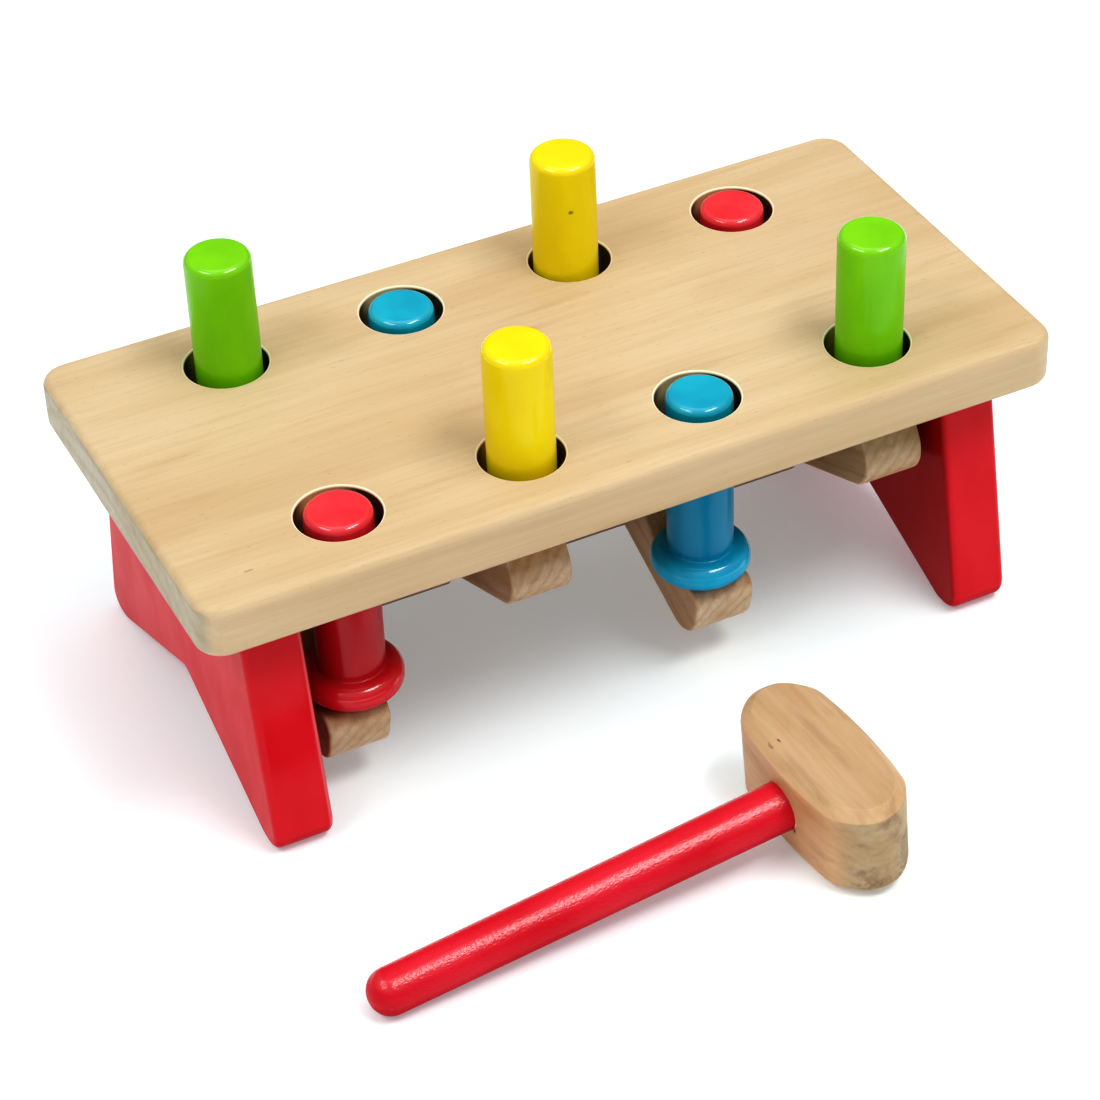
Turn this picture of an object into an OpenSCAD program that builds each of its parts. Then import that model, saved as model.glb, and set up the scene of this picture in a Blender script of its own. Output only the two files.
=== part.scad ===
// Peg pounding bench with its hammer.
// Eight pegs stand in two rows of holes. Under the board four levers rock on one rod,
// so that knocking one peg down lifts the peg on the lever's other end.
// Millimetres, +Z up. The set stands on z = 0 and is centred on the middle of its footprint.

/* [Board] */
// Length of the board
board_l = 258; // [210:1:320]
// Width of the board
board_w = 125; // [116:1:150]
// Thickness of the board
board_t = 16; // [14:0.5:24]
// Height of the board's top face above the floor
board_top = 89.4; // [84:0.2:120]
// Radius of the board's upright corners
board_corner_r = 8; // [6:0.5:14]
// Rounding of the board's top and bottom edges
board_edge_r = 2.5; // [1:0.25:3]

/* [Peg holes] */
// Diameter of the holes through the board
hole_d = 24; // [21:0.5:27]
// Chamfer at both rims of each hole
hole_chamfer = 0.5; // [0.25:0.25:1]
// From the board's end to the middle of the first column of holes
column_margin = 48.45; // [46:0.05:52]
// Distance between the front and the back row
row_gap = 78; // [76:0.5:80]

/* [Legs] */
// Thickness of a leg
leg_t = 17.4; // [16:0.2:22]
// From the board's end to the outer face of the leg
leg_inset = 13.3; // [8:0.1:16]
// Width of a leg where it meets the board
leg_top_w = 100.8; // [80:0.2:110]
// How far each foot reaches past the board's long edge
foot_overhang = 0.2; // [0:0.1:6]
// Rounding of the tip of each foot
foot_r = 6.5; // [6:0.25:9]
// Length of the flat sole under each foot
sole_l = 3.4; // [2:0.2:12]
// Height of the notch between the feet
notch_h = 20.5; // [12:0.5:22]
// Rounding along the edges of a leg
leg_edge_r = 2.5; // [1:0.25:3]

/* [Pegs] */
// Length of a peg over its flange
peg_l = 60.5; // [58.5:0.25:62]
// Diameter of the shank
shank_d = 19; // [16:0.25:20]
// Rounding of the shank's top edge
shank_round = 2; // [1:0.25:4]
// Diameter of the flange that keeps the peg in the board
flange_d = 28.6; // [27.5:0.1:29]
// Thickness of the flange
flange_t = 8; // [7.5:0.25:8.5]
// Rounding of the flange's rim
flange_round = 3.6; // [2:0.1:3.7]
// How far a lowered peg stands above the board
peg_proud = 1.5; // [0:0.1:2]

/* [Levers] */
// Width of a lever
lever_w = 18.5; // [14:0.25:20]
// Radius of the rounded ends
lever_end_r = 9.5; // [9:0.1:9.75]
// From the pivot to the middle of each rounded end
lever_end_reach = 42.6; // [42:0.1:43]
// Radius of the nose that carries a flange, on top of each end
nose_r = 5.4; // [5:0.1:5.5]
// From the pivot to the middle of each nose
nose_reach = 45.8; // [45.2:0.1:46.2]
// Height of the noses' middle above the pivot with the lever level
nose_rise = 5.5; // [5:0.1:5.6]
// Radius of the hollow that carries a flange
seat_r = 24; // [22:0.25:25]
// From the pivot to the middle of each hollow
seat_reach = 29; // [28.5:0.1:29.5]
// Height of the hollow's floor above the pivot
seat_floor = 4; // [3.4:0.1:4.2]
// Height of the lever's middle above the pivot
hub_rise = 9; // [8:0.1:10]
// Rounding along the edges of a lever
lever_edge_r = 1; // [0.5:0.25:3]
// From the pivot up to the flanges' undersides halfway through their stroke
stroke_rise = 11.3; // [11.2:0.1:11.8]
// Furthest that the levers stand aside from their columns
side_drift = 4.5; // [0:0.1:6]

/* [Pivot] */
// Diameter of the rod that carries the levers
rod_d = 9; // [7:0.25:10]
// Depth to which the rod enters each leg
rod_seat = 10; // [6:0.5:12]
// Diameter of the sleeves between the levers
spacer_d = 25.5; // [16:0.5:26]

/* [Dowels] */
// Diameter of the dowels between legs and board
dowel_d = 8; // [6:0.25:9]
// Length of a dowel inside the board
dowel_in_board = 10; // [7:0.5:10]
// Length of a dowel inside the leg
dowel_in_leg = 19; // [12:0.5:22]
// Distance between neighbouring dowels
dowel_pitch = 32; // [20:0.5:38]

/* [Hammer] */
// Length of the head from face to face
head_l = 61.4; // [50:0.2:66]
// Width of the head at its middle
head_w = 27.6; // [26:0.1:34]
// Height of the head
head_h = 30.2; // [24:0.1:34]
// How much each side of the head bulges
head_side_bulge = 2.4; // [1:0.1:4]
// How much each face of the head bulges
head_face_bulge = 3; // [0.5:0.1:4]
// Radius of the head's upright corners
head_corner_r = 8; // [7:0.25:9]
// Chamfer of the head's top and bottom edges
head_chamfer = 3; // [1:0.25:4]
// Length of the handle outside the head
handle_l = 124.2; // [100:0.1:140]
// Diameter of the handle at the head
handle_neck_d = 14.1; // [12:0.1:16]
// Diameter of the handle near its free end
handle_end_d = 13.1; // [11:0.1:16]
// Depth to which the handle enters the head
handle_seat = 20; // [12:0.5:22]
// Sideways distance from the bench's middle to the hammer's head
hammer_x = 20.9; // [0:0.1:60]
// Forward distance from the bench's middle to the hammer's head
hammer_gap = 122.5; // [110:0.1:160]
// Heading of the head's length
hammer_heading = -87.5; // [-90:0.5:-80]

/* [Clearances] */
// Radial play of a lever on the rod
lever_play = 0.08; // [0.04:0.01:0.1]
// Radial play of a sleeve on the rod
spacer_play = 0.1; // [0.05:0.01:0.3]
// End play left between the levers and a sleeve
spacer_end_play = 0.2; // [0.1:0.1:1]
// Radial room around glued pins
glue_play = 0.05; // [0.02:0.01:0.1]
// Room at the blind end of glued pins
glue_end_gap = 0.5; // [0.2:0.1:1.5]
// Room above the flange of a raised peg
flange_stop_gap = 0.4; // [0.3:0.1:0.6]

/* [Hidden] */
$fa = 4;
$fs = 0.6;

// Facets of the rounded blanks that hulls are made of
blank_facets = 32;
// Overrun of cutting bodies
cut = 2;
// Flats that make up each bulging side of the hammer's head
bulge_steps = 8;

wood_tone = "#E9CD9B";
dark_wood_tone = "#A98559";
red_tone = "#D81E2A";
yellow_tone = "#F4DE05";
green_tone = "#68B404";
blue_tone = "#1CA3CC";

// Columns run from left to right. Each share is the part of side_drift that applies.
lever_drift_share = [-0.71, 0, 0.57, 0.93];
front_peg_drift_share = [0, 0, 0.12, 0.12];
back_peg_drift_share = [0.16, 0, -0.26, 0];
column_count = 4;
column_pitch = (board_l - 2 * column_margin) / (column_count - 1);

front = -1;
back = 1;
lowered = -1;
raised = 1;

board_under = board_top - board_t;
hammer_front = hammer_gap + head_l / 2;
bench_y = (hammer_front - board_w / 2) / 2;

// The stroke of the pegs sets the height of the pivot and the tilt of the levers.
peg_low = board_top + peg_proud - peg_l;
peg_high = board_under - flange_stop_gap - flange_t;
peg_travel = peg_high - peg_low;
pivot_h = (peg_low + peg_high) / 2 - stroke_rise;
lever_tilt = asin(peg_travel / 2 / nose_reach);

leg_x = board_l / 2 - leg_inset - leg_t / 2;
leg_inner_x = leg_x - leg_t / 2;
leg_foot_w = board_w + 2 * foot_overhang;
foot_y = leg_foot_w / 2 - foot_r;
leg_splay = atan((leg_foot_w - leg_top_w) / 2 / (board_under - foot_r));
shoulder_y = foot_y - board_under * tan(leg_splay);
notch_r = lever_end_r;
notch_slope = atan(notch_h / (foot_y - sole_l));

rod_l = 2 * (leg_inner_x + rod_seat - glue_end_gap);
spacer_l = column_pitch - lever_w - spacer_end_play;

// The hammer leans on the lower edge of its head and the end of its handle.
head_tip_y = head_w / 2 - head_chamfer;
lean_reach = handle_l + head_chamfer - handle_end_d / 2;
lean_rise = head_h / 2;
hammer_lean = acos(handle_end_d / 2 / norm([lean_reach, lean_rise])) - atan2(lean_reach, lean_rise);

function column_x(column) = (column - (column_count - 1) / 2) * column_pitch;

function lever_x(column) = column_x(column) + side_drift * lever_drift_share[column];

function peg_drift(column, row) =
    side_drift * (row == front ? front_peg_drift_share : back_peg_drift_share)[column];

// Half outline of a round body standing on zero, both of its rims softened
module rim_profile(r, height, edge_r) {
    square([r - edge_r, height]);
    translate([0, edge_r])
        square([r, height - 2 * edge_r]);
    for (z = [edge_r, height - edge_r])
        translate([r - edge_r, z])
            circle(r = edge_r);
}

// Round blank with softened rims, centred, its axis along Z
module blank(r, height, edge_r) {
    translate([0, 0, -height / 2])
        rotate_extrude($fn = blank_facets)
            rim_profile(r, height, edge_r, $fn = blank_facets);
}

module along_x() {
    rotate([0, 90, 0])
        children();
}

module in_bench() {
    translate([0, bench_y, 0])
        children();
}

// Places a dowel or its hole, its foot standing on the bottom of the hole in the leg
module at_dowels(side) {
    for (place = [-1, 0, 1])
        translate([side * leg_x, place * dowel_pitch, board_under - dowel_in_leg])
            children();
}

module dowel_hole() {
    cylinder(d = dowel_d + 2 * glue_play, h = dowel_in_leg + dowel_in_board + glue_end_gap);
}

module dowels(side) {
    in_bench()
        at_dowels(side)
            cylinder(d = dowel_d, h = dowel_in_leg + dowel_in_board);
}

module peg_hole() {
    cylinder(d = hole_d, h = board_t + 2 * cut, center = true);
    for (turn = [0, 180])
        rotate([turn, 0, 0])
            translate([0, 0, board_t / 2 - hole_chamfer])
                cylinder(d1 = hole_d, d2 = hole_d + 4 * hole_chamfer, h = 2 * hole_chamfer);
}

module board_blank() {
    corner_x = board_l / 2 - board_corner_r;
    corner_y = board_w / 2 - board_corner_r;
    hull()
        for (x = [-1, 1], y = [-1, 1])
            translate([x * corner_x, y * corner_y, board_top - board_t / 2])
                blank(board_corner_r, board_t, board_edge_r);
}

module leg_disc(y, z, r) {
    translate([0, y, z])
        along_x()
            blank(r, leg_t, leg_edge_r);
}

// One foot reaching up to both shoulders of the leg
module leg_half(side) {
    hull() {
        leg_disc(side * foot_y, foot_r, foot_r);
        leg_disc(side * (foot_y - sole_l), foot_r, foot_r);
        leg_disc(0, notch_h + notch_r / cos(notch_slope), notch_r);
        leg_disc(-shoulder_y, board_under + foot_r, foot_r);
        leg_disc(shoulder_y, board_under + foot_r, foot_r);
    }
}

module leg(side) {
    color(red_tone)
        in_bench()
            difference() {
                translate([side * leg_x, 0, 0]) {
                    leg_half(front);
                    leg_half(back);
                }
                translate([side * leg_x - leg_t / 2 - cut, -leg_foot_w / 2, board_under])
                    cube([leg_t + 2 * cut, leg_foot_w, 2 * foot_r + cut]);
                at_dowels(side)
                    dowel_hole();
                pivot_bore();
            }
}

// Blind holes for the rod in both legs
module pivot_bore() {
    translate([0, 0, pivot_h])
        along_x()
            cylinder(d = rod_d + 2 * glue_play, h = 2 * (leg_inner_x + rod_seat), center = true);
}

module at_lever(column) {
    translate([lever_x(column), bench_y, pivot_h])
        children();
}

module lever_blank() {
    hull()
        for (end = [front, back]) {
            translate([0, end * lever_end_reach, 0])
                along_x()
                    blank(lever_end_r, lever_w, lever_edge_r);
            translate([0, end * nose_reach, nose_rise])
                along_x()
                    blank(nose_r, lever_w, lever_edge_r);
        }
}

// front_end tells whether the lever's front end is lowered or raised
module lever(column, front_end) {
    color(dark_wood_tone)
        at_lever(column)
            rotate([-front_end * lever_tilt, 0, 0])
                difference() {
                    lever_blank();
                    for (end = [front, back])
                        translate([0, end * seat_reach, seat_floor + seat_r])
                            along_x()
                                cylinder(r = seat_r, h = lever_w + 2 * cut, center = true);
                    translate([-lever_w / 2 - cut, -seat_reach, hub_rise])
                        cube([lever_w + 2 * cut, 2 * seat_reach, lever_end_r]);
                    along_x()
                        cylinder(d = rod_d + 2 * lever_play, h = lever_w + 2 * cut, center = true);
                }
}

// Sleeve in the middle of the space between two levers
module spacer(column) {
    color(wood_tone)
        translate([(lever_x(column) + lever_x(column + 1)) / 2, bench_y, pivot_h])
            along_x()
                difference() {
                    cylinder(d = spacer_d, h = spacer_l, center = true);
                    cylinder(d = rod_d + 2 * spacer_play, h = spacer_l + 2 * cut, center = true);
                }
}

module peg_profile() {
    rim_profile(flange_d / 2, flange_t, flange_round);
    translate([0, flange_t / 2])
        rim_profile(shank_d / 2, peg_l - flange_t / 2, shank_round);
}

module peg(column, row, state, tone) {
    height = state == lowered ? peg_low : peg_high;
    color(tone)
        translate([column_x(column) + peg_drift(column, row), bench_y + row * row_gap / 2, height])
            rotate_extrude()
                peg_profile();
}

// Head along X, handle towards -Y, standing level on z = 0
module in_hammer() {
    translate([hammer_x, bench_y - hammer_gap, 0])
        rotate([0, 0, hammer_heading])
            translate([0, -head_tip_y, 0])
                rotate([hammer_lean, 0, 0])
                    translate([0, head_tip_y, 0])
                        children();
}

module head_disc() {
    cylinder(r = head_corner_r - head_chamfer, h = head_h, $fn = blank_facets);
    translate([0, 0, head_chamfer])
        cylinder(r = head_corner_r, h = head_h - 2 * head_chamfer, $fn = blank_facets);
}

module head_blank() {
    reach_x = head_l / 2 - head_face_bulge - head_corner_r;
    reach_y = head_w / 2 - head_side_bulge - head_corner_r;
    hull() {
        for (step = [0 : bulge_steps], side = [-1, 1]) {
            x = reach_x * (2 * step / bulge_steps - 1);
            bulge = head_side_bulge * (1 - pow(x / (reach_x + head_corner_r), 2));
            translate([x, side * (reach_y + bulge), 0])
                head_disc();
        }
        for (end = [-1, 1])
            translate([end * (reach_x + head_face_bulge), 0, 0])
                head_disc();
    }
}

// Turns what stands on z = 0 into the handle's direction, starting at the bottom of its bore
module along_handle() {
    translate([0, handle_seat - head_w / 2, head_h / 2])
        rotate([90, 0, 0])
            children();
}

module handle_profile() {
    end_r = handle_end_d / 2;
    end_z = handle_seat + handle_l - end_r;
    polygon([
        [0, glue_end_gap],
        [handle_neck_d / 2, glue_end_gap],
        [handle_neck_d / 2, handle_seat],
        [end_r, end_z],
        [0, end_z]
    ]);
    intersection() {
        translate([0, end_z])
            circle(r = end_r);
        translate([0, end_z - cut])
            square([end_r, end_r + 2 * cut]);
    }
}

module top_board() {
    color(wood_tone)
        in_bench()
            difference() {
                board_blank();
                for (column = [0 : column_count - 1], row = [front, back])
                    translate([column_x(column), row * row_gap / 2, board_top - board_t / 2])
                        peg_hole();
                for (side = [-1, 1])
                    at_dowels(side)
                        dowel_hole();
            }
}

module left_leg() {
    leg(-1);
}

module right_leg() {
    leg(1);
}

module left_leg_dowels() {
    color(wood_tone)
        dowels(-1);
}

module right_leg_dowels() {
    color(wood_tone)
        dowels(1);
}

module pivot_rod() {
    color(wood_tone)
        translate([0, bench_y, pivot_h])
            along_x()
                cylinder(d = rod_d, h = rod_l, center = true);
}

module left_spacer() {
    spacer(0);
}

module middle_spacer() {
    spacer(1);
}

module right_spacer() {
    spacer(2);
}

module lever_1() {
    lever(0, lowered);
}

module lever_2() {
    lever(1, raised);
}

module lever_3() {
    lever(2, lowered);
}

module lever_4() {
    lever(3, raised);
}

module front_red_peg() {
    peg(0, front, lowered, red_tone);
}

module front_yellow_peg() {
    peg(1, front, raised, yellow_tone);
}

module front_blue_peg() {
    peg(2, front, lowered, blue_tone);
}

module front_green_peg() {
    peg(3, front, raised, green_tone);
}

module back_green_peg() {
    peg(0, back, raised, green_tone);
}

module back_blue_peg() {
    peg(1, back, lowered, blue_tone);
}

module back_yellow_peg() {
    peg(2, back, raised, yellow_tone);
}

module back_red_peg() {
    peg(3, back, lowered, red_tone);
}

module hammer_head() {
    color(wood_tone)
        in_hammer()
            difference() {
                head_blank();
                along_handle()
                    cylinder(d = handle_neck_d + 2 * glue_play, h = handle_seat + cut);
            }
}

module hammer_handle() {
    color(red_tone)
        in_hammer()
            along_handle()
                rotate_extrude()
                    handle_profile();
}

top_board();
left_leg();
right_leg();
left_leg_dowels();
right_leg_dowels();
pivot_rod();
left_spacer();
middle_spacer();
right_spacer();
lever_1();
lever_2();
lever_3();
lever_4();
front_red_peg();
front_yellow_peg();
front_blue_peg();
front_green_peg();
back_green_peg();
back_blue_peg();
back_yellow_peg();
back_red_peg();
hammer_head();
hammer_handle();
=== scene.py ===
import math

import bmesh
import bpy
from mathutils import Matrix, Vector


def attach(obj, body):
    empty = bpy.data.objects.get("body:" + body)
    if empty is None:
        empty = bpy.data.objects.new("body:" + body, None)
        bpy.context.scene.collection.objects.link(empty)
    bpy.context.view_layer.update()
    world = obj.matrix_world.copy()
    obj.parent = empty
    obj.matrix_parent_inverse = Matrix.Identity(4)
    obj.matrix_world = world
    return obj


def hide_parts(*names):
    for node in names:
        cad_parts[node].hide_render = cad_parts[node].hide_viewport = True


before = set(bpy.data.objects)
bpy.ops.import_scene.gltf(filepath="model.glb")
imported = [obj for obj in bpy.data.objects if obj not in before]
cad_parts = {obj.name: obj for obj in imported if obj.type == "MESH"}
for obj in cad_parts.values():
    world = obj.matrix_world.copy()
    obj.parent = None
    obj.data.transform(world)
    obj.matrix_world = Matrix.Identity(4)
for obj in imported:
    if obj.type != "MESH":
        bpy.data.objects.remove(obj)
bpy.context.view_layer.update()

mm = 0.001
benchY = 45.35  # the bench stands behind the middle of the set
pivotHeight = 36.4  # from the floor to the middle of the rod
roundSteps = 72  # facets round a peg, a hole or the handle
collection = bpy.context.scene.collection


# small helpers

def addNode(tree, kind, props=None, inputs=None):
    made = tree.nodes.new(kind)
    for key, value in (props or {}).items():
        setattr(made, key, value)
    for key, value in (inputs or {}).items():
        if isinstance(value, bpy.types.NodeSocket):
            tree.links.new(value, made.inputs[key])
        else:
            made.inputs[key].default_value = value
    return made


def coordinate(tree, kind):
    return addNode(tree, "ShaderNodeTexCoord").outputs[kind]


def axesOf(tree, kind):
    # X, Y and Z of a coordinate, such as Object or Normal
    return addNode(tree, "ShaderNodeSeparateXYZ", None, {"Vector": coordinate(tree, kind)}).outputs


def ramp(tree, value, low, high, outLow=0.0, outHigh=1.0, smooth=True):
    return addNode(tree, "ShaderNodeMapRange", {
        "interpolation_type": "SMOOTHSTEP" if smooth else "LINEAR", "clamp": True}, {
        "Value": value, "From Min": low, "From Max": high, "To Min": outLow, "To Max": outHigh,
    }).outputs["Result"]


def srgb(red, green, blue):
    # colour as read off a screen, 0 to 255, made linear
    def linear(v):
        v /= 255
        return v / 12.92 if v <= 0.04045 else ((v + 0.055) / 1.055) ** 2.4
    return (linear(red), linear(green), linear(blue), 1.0)


def placing(x, y, z, heading=0.0, tilt=0.0):
    # millimetres and degrees, turned about Z after the tilt about X
    move = Matrix.Translation(Vector((x, y, z)) * mm)
    turn = Matrix.Rotation(math.radians(heading), 4, "Z")
    return move @ turn @ Matrix.Rotation(math.radians(tilt), 4, "X")


def boreInto(bm, diameter, depth, matrix, segments=48):
    # closed cutter, its axis along the matrix's Z
    radius = diameter / 2 * mm
    bmesh.ops.create_cone(bm, cap_ends=True, segments=segments, radius1=radius, radius2=radius,
                          depth=depth * mm, matrix=matrix)


def bevelAll(bm, edges, offset, segments):
    return bmesh.ops.bevel(bm, geom=edges, offset=offset * mm, offset_type="OFFSET",
                           segments=segments, profile=0.5, affect="EDGES", material=-1,
                           clamp_overlap=True)


def roundCorner(bm, vert, offset, segments):
    bmesh.ops.bevel(bm, geom=[vert], offset=offset * mm, offset_type="OFFSET",
                    segments=segments, profile=0.5, affect="VERTICES", material=-1,
                    clamp_overlap=True)


def wire(bm, points, closed):
    verts = [bm.verts.new(Vector(p) * mm) for p in points]
    for a, b in zip(verts, verts[1:]):
        bm.edges.new((a, b))
    if closed:
        bm.edges.new((verts[-1], verts[0]))


def nearest(bm, point):
    target = Vector(point) * mm
    return min(bm.verts, key=lambda v: (v.co - target).length)


def spinRound(bm):
    bmesh.ops.spin(bm, geom=bm.verts[:] + bm.edges[:], cent=(0, 0, 0), axis=(0, 0, 1),
                   angle=2 * math.pi, steps=roundSteps, use_merge=True, use_duplicate=False)
    bmesh.ops.remove_doubles(bm, verts=bm.verts[:], dist=0.002 * mm)


def meshFrom(name, bm):
    bmesh.ops.recalc_face_normals(bm, faces=bm.faces[:])
    mesh = bpy.data.meshes.new(name)
    bm.to_mesh(mesh)
    bm.free()
    return mesh


def cutAway(mesh, cutterMesh):
    # boolean difference, applied at once
    body = bpy.data.objects.new("body", mesh)
    cutter = bpy.data.objects.new("cutter", cutterMesh)
    collection.objects.link(body)
    collection.objects.link(cutter)
    difference = body.modifiers.new("difference", "BOOLEAN")
    difference.object = cutter
    difference.operation = "DIFFERENCE"
    difference.solver = "EXACT"
    evaluated = body.evaluated_get(bpy.context.evaluated_depsgraph_get())
    result = bpy.data.meshes.new_from_object(evaluated)
    bpy.data.objects.remove(body)
    bpy.data.objects.remove(cutter)
    return result


def finishPiece(name, mesh, body, material, nodeName, matrix=None, sharpAngle=40):
    # paints the mesh and puts it in the place of its CAD node
    if name in traces:
        addTraces(material, name)
    if matrix is not None:
        mesh.transform(matrix)
    mesh.materials.clear()
    mesh.materials.append(material)
    mesh.shade_smooth()
    mesh.set_sharp_from_angle(angle=math.radians(sharpAngle))
    piece = bpy.data.objects.new(name, mesh)
    collection.objects.link(piece)
    weighted = piece.modifiers.new("weighted", "WEIGHTED_NORMAL")
    weighted.keep_sharp = True
    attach(piece, body)
    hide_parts(nodeName)


# camera, at the photograph's place

photoCamera = {
    "place": (-327.59, -655.14, 632.63),
    "turn": (51.5382, 1.8877, -26.4673),
    "lens": 110.5996, "sensorWidth": 36.0, "clipStart": 0.05,
}

cameraData = bpy.data.cameras.new("photoCamera")
cameraData.lens = photoCamera["lens"]
cameraData.sensor_width = photoCamera["sensorWidth"]
cameraData.clip_start = photoCamera["clipStart"]
cameraObject = bpy.data.objects.new("photoCamera", cameraData)
cameraObject.location = Vector(photoCamera["place"]) * mm
cameraObject.rotation_euler = [math.radians(a) for a in photoCamera["turn"]]
collection.objects.link(cameraObject)
bpy.context.scene.camera = cameraObject
view = bpy.context.scene.view_settings
view.view_transform = "Standard"  # the paints keep their full colour
view.look = "High Contrast"
print("camera placed")

# floor and light

studio = {
    "floorSize": 12.0, "floorColour": (0.86, 0.915, 0.925, 1.0),
    "floorRoughness": 0.9, "floorSpecular": 0.1,
    "floorGlow": 0.155, "glowColour": (0.92, 1.0, 1.06, 1.0),
    "skyAbove": 0.52, "skyAtHorizon": 0.16, "skyFrom": 0.1, "skyTo": 0.9,
    "lightsAimAt": (0, 0.03, 0.05),
    # name: place in metres, width, height, power in watts
    "lights": {
        "keyRight": ((0.50, -0.62, 1.62), 0.95, 0.40, 10.5),
        "sideLeft": ((-1.00, -0.05, 1.46), 0.95, 0.38, 5.2),
        "overhead": ((0.10, 0.30, 1.75), 1.20, 1.20, 4.0),
    },
}


def buildStudio(look):
    world = bpy.data.worlds.new("softWorld")
    bpy.context.scene.world = world
    world.use_nodes = True
    tree = world.node_tree
    # a soft sky, brighter overhead than at the horizon
    strength = ramp(tree, axesOf(tree, "Generated")["Z"], look["skyFrom"], look["skyTo"],
                    look["skyAtHorizon"], look["skyAbove"])
    background = tree.nodes["Background"]
    background.inputs["Color"].default_value = (1.0, 1.0, 1.0, 1.0)
    tree.links.new(strength, background.inputs["Strength"])

    bm = bmesh.new()
    bmesh.ops.create_grid(bm, x_segments=1, y_segments=1, size=look["floorSize"] / 2)
    floorMesh = bpy.data.meshes.new("floor")
    bm.to_mesh(floorMesh)
    bm.free()
    floorObject = bpy.data.objects.new("floor", floorMesh)
    collection.objects.link(floorObject)
    floorMaterial = bpy.data.materials.new("floorPaper")
    floorMaterial.use_nodes = True
    shader = floorMaterial.node_tree.nodes["Principled BSDF"]
    shader.inputs["Base Color"].default_value = look["floorColour"]
    shader.inputs["Roughness"].default_value = look["floorRoughness"]
    shader.inputs["Specular IOR Level"].default_value = look["floorSpecular"]
    shader.inputs["Emission Color"].default_value = look["glowColour"]
    shader.inputs["Emission Strength"].default_value = look["floorGlow"]
    floorMesh.materials.append(floorMaterial)

    for name, (place, width, height, power) in look["lights"].items():
        data = bpy.data.lights.new(name, "AREA")
        data.shape = "RECTANGLE"
        data.size = width
        data.size_y = height
        data.energy = power
        light = bpy.data.objects.new(name, data)
        aim = Vector(look["lightsAimAt"]) - Vector(place)
        light.location = place
        light.rotation_euler = aim.to_track_quat("-Z", "Y").to_euler()
        collection.objects.link(light)


buildStudio(studio)
print("studio lit")


# wood

def startMaterial(name):
    material = bpy.data.materials.new(name)
    material.use_nodes = True
    return material, material.node_tree, material.node_tree.nodes["Principled BSDF"]


seedShift = Vector((131.7, 57.3, 23.9))  # gives each piece its own part of the pattern


def alongGrain(tree, matrix, seed):
    # Object coordinates turned so that X runs along the grain, in millimetres
    back = matrix.inverted()
    return addNode(tree, "ShaderNodeMapping", {"vector_type": "POINT"}, {
        "Vector": coordinate(tree, "Object"),
        "Location": back.translation / mm + seedShift * seed,
        "Rotation": back.to_euler(),
        "Scale": (1 / mm, 1 / mm, 1 / mm),
    }).outputs["Vector"]


def vectorMaths(tree, operation, vector, second):
    second = (second,) * 3 if isinstance(second, float) else second
    return addNode(tree, "ShaderNodeVectorMath", {"operation": operation}, {
        0: vector, 1: second}).outputs["Vector"]


def stretched(tree, vector, alongX, across):
    return vectorMaths(tree, "MULTIPLY", vector, (1 / alongX, 1 / across, 1 / across))


def noise(tree, vector, detail=3.0, roughness=0.5, distortion=0.0):
    return addNode(tree, "ShaderNodeTexNoise", {"noise_dimensions": "3D"}, {
        "Vector": vector, "Scale": 1.0, "Detail": detail, "Roughness": roughness,
        "Distortion": distortion}).outputs["Fac"]


def maths(tree, operation, first, second=0.5):
    return addNode(tree, "ShaderNodeMath", {"operation": operation}, {
        0: first, 1: second}).outputs["Value"]


def mixColour(tree, fac, first, second, blend="MIX"):
    # by number, since the node has sockets of the same names for plain values and vectors
    return addNode(tree, "ShaderNodeMix", {"data_type": "RGBA", "blend_type": blend}, {
        0: fac, 6: first, 7: second}).outputs[2]


def tinted(tree, share, colour, tint):
    # the colour times a tint, as far as the share says
    return mixColour(tree, share, colour, mixColour(tree, 1.0, colour, tint, "MULTIPLY"))


def endGrain(tree, matrix, fromTo):
    # 1 where a face looks along the grain, 0 where the grain lies in the face
    turned = addNode(tree, "ShaderNodeMapping", {"vector_type": "VECTOR"}, {
        "Vector": coordinate(tree, "Normal"),
        "Rotation": matrix.inverted().to_euler()}).outputs["Vector"]
    along = addNode(tree, "ShaderNodeSeparateXYZ", None, {"Vector": turned}).outputs["X"]
    return ramp(tree, maths(tree, "ABSOLUTE", along), *fromTo)


woodFigure = {  # what all the woods share; pairs are where a mask begins and where it is full
    "clouds": (0.32, 0.70), "streaks": (0.40, 0.68), "fibres": (0.35, 0.70),
    "lateWood": (0.35, 1.0), "patchSoftness": 0.22, "fleckSoftness": 0.08,
    "fibreLength": 16.0, "fibreWidth": 0.32, "ringScale": 0.314, "bendUpwards": 0.6,
    "figured": (0.30, 0.62, 0.25, 1.0), "gloss": (0.3, 0.7), "glossChange": (-0.05, 0.07),
    "ends": (0.55, 0.92), "endsFade": (0.35, 0.60), "top": (0.50, 0.65),
    "under": (-0.80, -0.35), "chamfer": (0.45, 0.60), "chamferEnd": (0.80, 0.95),
    "bumpDistance": 0.10, "fibreHeight": 0.6, "fleckHeight": -0.8, "ringHeight": 0.35,
}


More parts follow.
